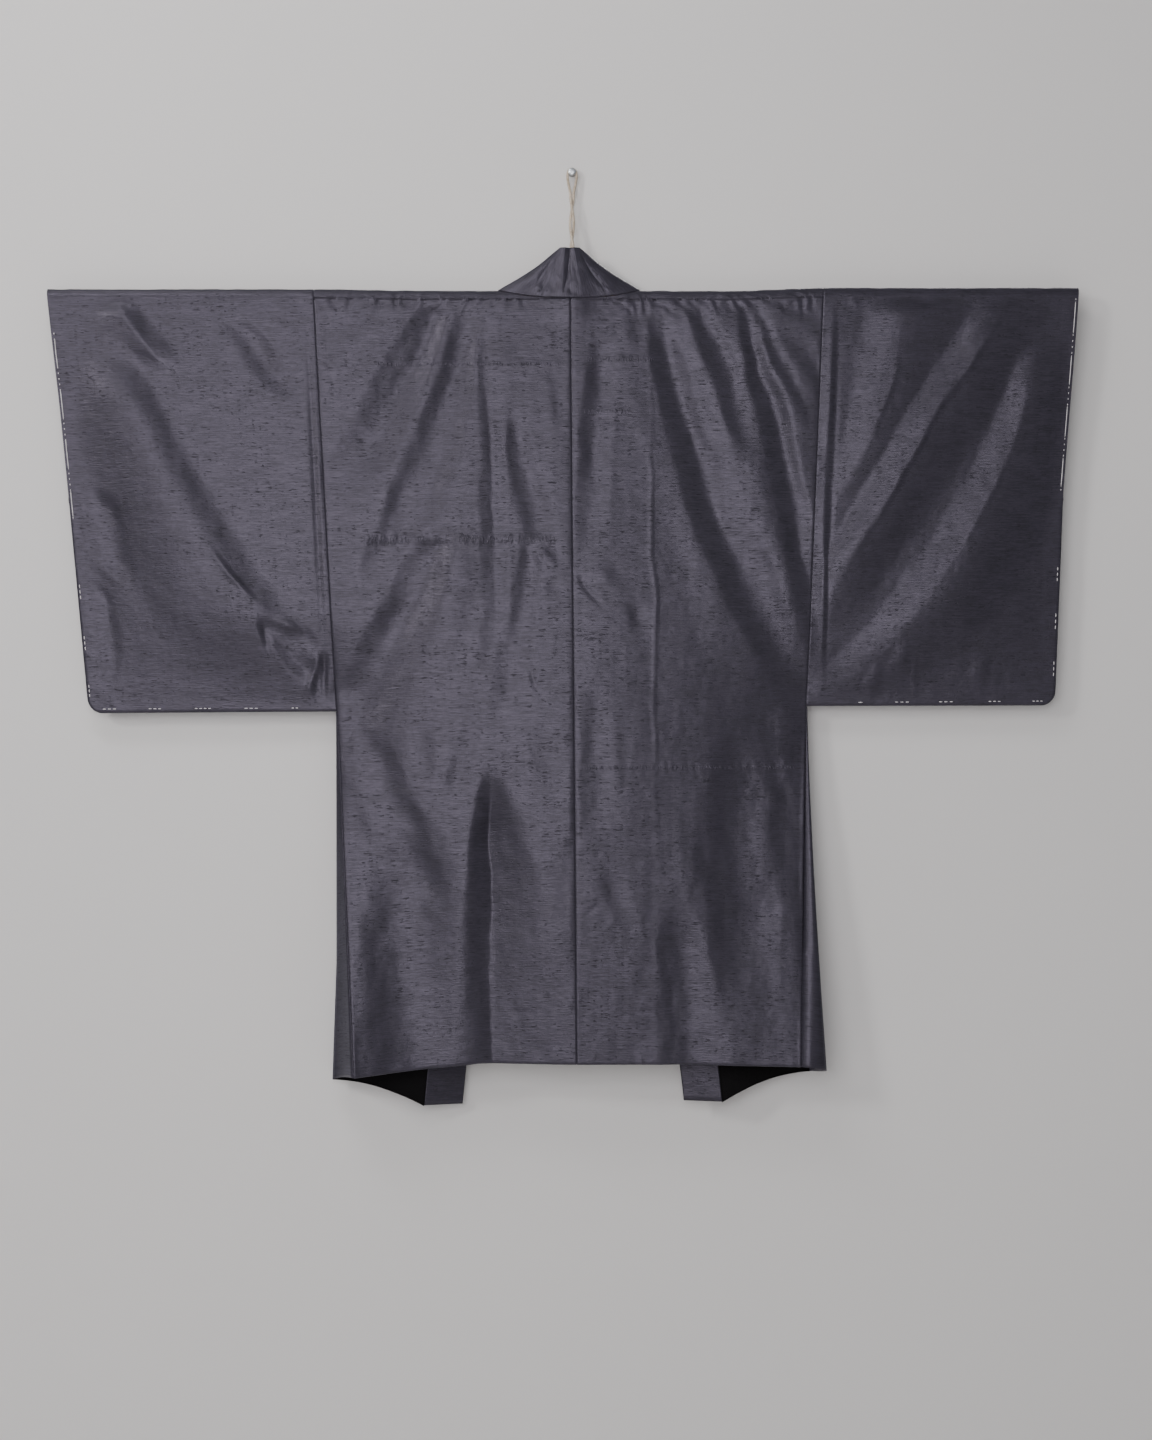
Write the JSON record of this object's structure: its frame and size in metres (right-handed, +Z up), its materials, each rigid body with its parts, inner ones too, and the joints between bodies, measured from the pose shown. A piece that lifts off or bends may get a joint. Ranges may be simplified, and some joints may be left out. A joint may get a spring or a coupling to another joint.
{
  "type": "haori jacket",
  "caption": "Black slubbed silk haori jacket shown from the back, its square sleeves spread flat on a hidden rod that a loop of twine hangs from a wall screw.",
  "frame": {"origin": "where the screw that holds the garment meets the wall's face", "axes": "+X to the right of someone who faces the wall and the garment's back, +Y into the wall, +Z up"},
  "size_m": [1.2868, 0.0827, 1.1759],
  "materials": {
    "silk": "black slubbed silk with a low sheen",
    "pine": "plain turned wood",
    "jute": "undyed two-strand twine",
    "zinc": "bright zinc plate",
    "plug": "grey nylon"
  },
  "bodies": {
    "root": {"body_left": "silk", "body_right": "silk", "collar": "silk", "gusset_left": "silk", "gusset_right": "silk", "rod": "pine", "screw": "zinc", "sleeve_left": "silk", "sleeve_right": "silk", "twine": "jute", "wall_plug": "plug"}
  },
  "joints": []
}
